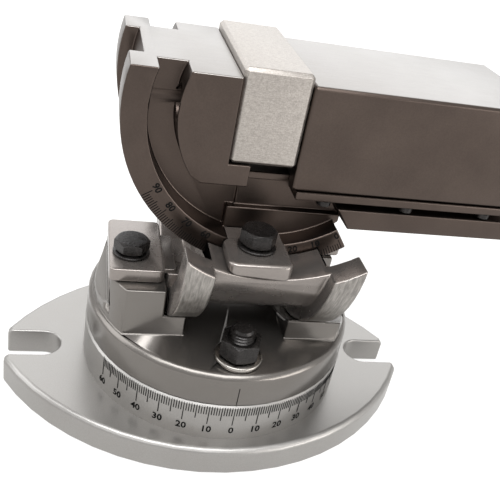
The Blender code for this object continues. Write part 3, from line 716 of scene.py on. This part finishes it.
def markTree(name, flat):
    # rows of degree marks; on a band they hang down from its top edge, on a flat face they point inwards
    tree = bpy.data.node_groups.new(name, "GeometryNodeTree")
    tree.interface.new_socket("Marks", in_out="OUTPUT", socket_type="NodeSocketGeometry")
    floats = ("Radius", "Start", "Step", "Top", "Short", "Medium", "Long", "Width", "Proud")
    kinds = {"Count": "Int", "Zero": "Int", **{label: "Float" for label in floats}, "Finish": "Material"}
    for label, kind in kinds.items():
        tree.interface.new_socket(label, in_out="INPUT", socket_type="NodeSocket" + kind)
    given = addNode(tree, "NodeGroupInput").outputs
    index = addNode(tree, "GeometryNodeInputIndex").outputs["Index"]

    def maths(operation, first, second=0.0):
        return addNode(tree, "ShaderNodeMath", {0: first, 1: second}, operation=operation).outputs["Value"]

    fromZero = maths("ABSOLUTE", maths("SUBTRACT", index, given["Zero"]))
    turn = maths("ADD", given["Start"], maths("MULTIPLY", index, given["Step"]))
    isFive = maths("LESS_THAN", maths("MODULO", fromZero, 5.0), 0.5)
    isTen = maths("LESS_THAN", maths("MODULO", fromZero, 10.0), 0.5)
    fiveLonger = maths("MULTIPLY", isFive, maths("SUBTRACT", given["Medium"], given["Short"]))
    tenLonger = maths("MULTIPLY", isTen, maths("SUBTRACT", given["Long"], given["Medium"]))
    length = maths("ADD", given["Short"], maths("ADD", fiveLonger, tenLonger))
    place = addNode(tree, "ShaderNodeCombineXYZ", {
        "X": maths("MULTIPLY", given["Radius"], maths("COSINE", turn)),
        "Y": maths("MULTIPLY", given["Radius"], maths("SINE", turn)), "Z": given["Top"]}).outputs["Vector"]
    points = addNode(tree, "GeometryNodePoints", {
        "Count": given["Count"], "Position": place}).outputs["Points"]
    block = addNode(tree, "GeometryNodeMeshCube").outputs["Mesh"]
    hung = addNode(tree, "GeometryNodeTransform", {
        "Geometry": block, "Translation": (-0.5, 0, 0) if flat else (0, 0, -0.5)}).outputs["Geometry"]
    size = {"X": length, "Y": given["Width"], "Z": given["Proud"]} if flat else {
        "X": given["Proud"], "Y": given["Width"], "Z": length}
    turned = addNode(tree, "ShaderNodeCombineXYZ", {"Z": turn}).outputs["Vector"]
    placed = addNode(tree, "GeometryNodeInstanceOnPoints", {
        "Points": points, "Instance": hung, "Rotation": turned,
        "Scale": addNode(tree, "ShaderNodeCombineXYZ", size).outputs["Vector"]})
    real = addNode(tree, "GeometryNodeRealizeInstances", {"Geometry": placed.outputs["Instances"]})
    inked = addNode(tree, "GeometryNodeSetMaterial", {
        "Geometry": real.outputs["Geometry"], "Material": given["Finish"]})
    addNode(tree, "NodeGroupOutput", {"Marks": inked.outputs["Geometry"]})
    return tree


digitShare = 0.7  # a digit's height as a share of the type size
boldness = 0.035


def textShape(text, height):
    # a number as a flat mesh, its middle at the origin
    curve = bpy.data.curves.new("number", "FONT")
    curve.body = text
    curve.size = height / digitShare
    curve.offset = height * boldness
    curve.align_x, curve.align_y = "CENTER", "CENTER"
    curve.resolution_u = 2
    obj = bpy.data.objects.new("number", curve)
    bpy.context.scene.collection.objects.link(obj)
    mesh = bpy.data.meshes.new_from_object(obj.evaluated_get(bpy.context.evaluated_depsgraph_get()))
    bpy.data.objects.remove(obj)
    bm = bmesh.new()
    bm.from_mesh(mesh)
    bpy.data.meshes.remove(mesh)
    low = min(v.co.y for v in bm.verts)
    high = max(v.co.y for v in bm.verts)
    bmesh.ops.translate(bm, verts=bm.verts, vec=(0, -(low + high) / 2, 0))
    return bm


def addShape(whole, bm, place):
    # one shape added to a mesh, each point put through a rule
    for vert in bm.verts:
        vert.co = place(vert.co)
    mesh = bpy.data.meshes.new("shape")
    bm.to_mesh(mesh)
    bm.free()
    whole.from_mesh(mesh)
    bpy.data.meshes.remove(mesh)


dial = {
    "radius": 0.0700, "halfDegrees": 60, "top": 0.0356, "short": 0.0052, "medium": 0.0084, "long": 0.0112,
    "width": 0.00044, "proud": 0.00012, "numberHeight": 0.0037, "numberZ": 0.0211, "lastNumber": 60,
}
count = dial["halfDegrees"] * 2 + 1
bandMarks = markTree("degree_marks_on_a_band", False)
obj = withNodes(newObject("base_degree_marks", bpy.data.meshes.new("base_degree_marks")), bandMarks,
                Count=count, Zero=dial["halfDegrees"], Radius=dial["radius"],
                Start=math.radians(-90 - dial["halfDegrees"]), Step=math.radians(1), Top=dial["top"],
                Short=dial["short"], Medium=dial["medium"], Long=dial["long"], Width=dial["width"],
                Proud=dial["proud"], Finish=markInk)
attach(obj, "base")
whole = bmesh.new()
for number in range(-dial["lastNumber"], dial["lastNumber"] + 1, 10):
    def wrapped(point, number=number):
        turn = math.radians(-90 + number) + point.x / dial["radius"]
        r = dial["radius"] + dial["proud"] / 2
        return Vector((r * math.cos(turn), r * math.sin(turn), dial["numberZ"] + point.y))
    addShape(whole, textShape(str(abs(number)), dial["numberHeight"]), wrapped)
obj = putMesh("base_degree_numbers", whole, markInk)
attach(obj, "base")

# the turntable's index line
index = {"radius": 0.0697, "low": 0.0368, "high": 0.0475, "width": 0.0004, "degrees": -90}
obj = withNodes(newObject("turntable_index_line", bpy.data.meshes.new("turntable_index_line")), bandMarks,
                Count=1, Zero=0, Radius=index["radius"], Start=math.radians(index["degrees"]), Step=0.0,
                Top=index["high"], Short=0.0, Medium=0.0, Long=index["high"] - index["low"],
                Width=index["width"], Proud=dial["proud"], Finish=markInk)
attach(obj, "swivel")

# the tilt arc's scale, on the front face of its near flange
arcScale = {
    "radius": 0.0696, "count": 91, "startDegrees": 213.5, "short": 0.0036,
    "medium": 0.0046, "long": 0.0054, "width": 0.00040, "proud": 0.00012, "numberHeight": 0.0032,
    "numberRadius": 0.0618, "numbers": {10 * k: str(90 - 10 * k) for k in range(10)},
}
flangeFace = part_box("vise_body")[0].y
flatMarks = markTree("degree_marks_on_a_face", True)
obj = withNodes(newObject("tilt_arc_marks", bpy.data.meshes.new("tilt_arc_marks")), flatMarks,
                Count=arcScale["count"], Zero=0, Radius=arcScale["radius"],
                Start=math.radians(arcScale["startDegrees"]), Step=math.radians(1), Top=0.0,
                Short=arcScale["short"], Medium=arcScale["medium"], Long=arcScale["long"],
                Width=arcScale["width"], Proud=arcScale["proud"], Finish=markInk)
whole = bmesh.new()
whole.from_mesh(obj.data)
bpy.data.objects.remove(obj)
for degrees, text in arcScale["numbers"].items():
    turn = math.radians(arcScale["startDegrees"] + degrees)
    r = arcScale["numberRadius"]
    at = Vector((r * math.cos(turn), r * math.sin(turn), arcScale["proud"]))
    spun = Matrix.Translation(at) @ Matrix.Rotation(turn + math.pi / 2, 4, "Z")
    addShape(whole, textShape(text, arcScale["numberHeight"]), lambda point: spun @ point)
centre = (pivotOf["body_tilt"][0], flangeFace, pivotOf["body_tilt"][2])
facing = Matrix.Translation(centre) @ Matrix.Rotation(math.pi / 2, 4, "X")
bmesh.ops.transform(whole, matrix=facing, verts=whole.verts)
obj = putMesh("tilt_arc_scale", whole, markInk)
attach(obj, "vise")
print("graduations made")


# Stage, lights and camera

stageLook = {"floor": "#8f8e8c", "floorSize": 6.0, "floorRough": 0.9, "glow": 0.72,
             "below": 0.0002, "world": 0.95}
material, tree, shader, place = newFinish("pale_paper_sweep", 0.0)
shader.inputs["Base Color"].default_value = linear(stageLook["floor"])
shader.inputs["Roughness"].default_value = stageLook["floorRough"]
shader.inputs["Emission Color"].default_value = (1, 1, 1, 1)
shader.inputs["Emission Strength"].default_value = stageLook["glow"]
bm = bmesh.new()
bmesh.ops.create_grid(bm, x_segments=1, y_segments=1, size=stageLook["floorSize"] / 2,
                      matrix=Matrix.Translation((0, 0, cadLow.z - stageLook["below"])))
putMesh("floor", bm, material)

world = bpy.data.worlds.new("studio")
bpy.context.scene.world = world
world.use_nodes = True
background = world.node_tree.nodes["Background"]
background.inputs["Color"].default_value = (1, 1, 1, 1)
background.inputs["Strength"].default_value = stageLook["world"]

lights = {
    "softbox_back": {"at": (0.1, 1.4, 1.0), "size": (2.6, 1.4), "watts": 17, "colour": "#fbfdff"},
    "softbox_left": {"at": (-1.3, 0.3, 0.9), "size": (1.0, 1.0), "watts": 9, "colour": "#fbfdff"},
    "softbox_right": {"at": (1.2, -1.0, 0.45), "size": (1.1, 0.6), "watts": 11, "colour": "#fffdfb"},
    "softbox_top": {"at": (-0.2, -0.55, 1.1), "size": (1.3, 0.5), "watts": 16, "colour": "#fbfdff"},
}
aim = Vector((0.03, 0, 0.08))
for name, lamp in lights.items():
    data = bpy.data.lights.new(name, "AREA")
    data.shape = "RECTANGLE"
    data.size, data.size_y = lamp["size"]
    data.energy = lamp["watts"]
    data.color = linear(lamp["colour"])[:3]
    obj = bpy.data.objects.new(name, data)
    obj.location = lamp["at"]
    obj.rotation_euler = (aim - obj.location).to_track_quat("-Z", "Y").to_euler()
    bpy.context.scene.collection.objects.link(obj)

cameraSetup = {"at": (-0.0794, -0.3068, 0.2669), "azimuth": 16.49, "down": 30.2, "roll": 11.96,
               "lens": 50.75, "sensor": 36, "nearest": 0.01}


def aimCamera(setup):
    azimuth, down, roll = (math.radians(setup[k]) for k in ("azimuth", "down", "roll"))
    level = Vector((math.cos(azimuth), -math.sin(azimuth), 0))
    away = Vector((math.sin(azimuth), math.cos(azimuth), 0))
    ahead = away * math.cos(down) - Vector(upZ) * math.sin(down)
    right = level * math.cos(roll) + level.cross(ahead) * math.sin(roll)
    turned = Matrix((right, right.cross(ahead), -ahead)).transposed().to_4x4()
    data = bpy.data.cameras.new("camera")
    data.lens = setup["lens"]
    data.sensor_width = setup["sensor"]
    data.clip_start = setup["nearest"]
    camera = bpy.data.objects.new("camera", data)
    camera.matrix_world = Matrix.Translation(setup["at"]) @ turned
    bpy.context.scene.collection.objects.link(camera)
    bpy.context.scene.camera = camera


aimCamera(cameraSetup)
bpy.context.scene.view_settings.view_transform = "Standard"
print("stage, lights and camera set")
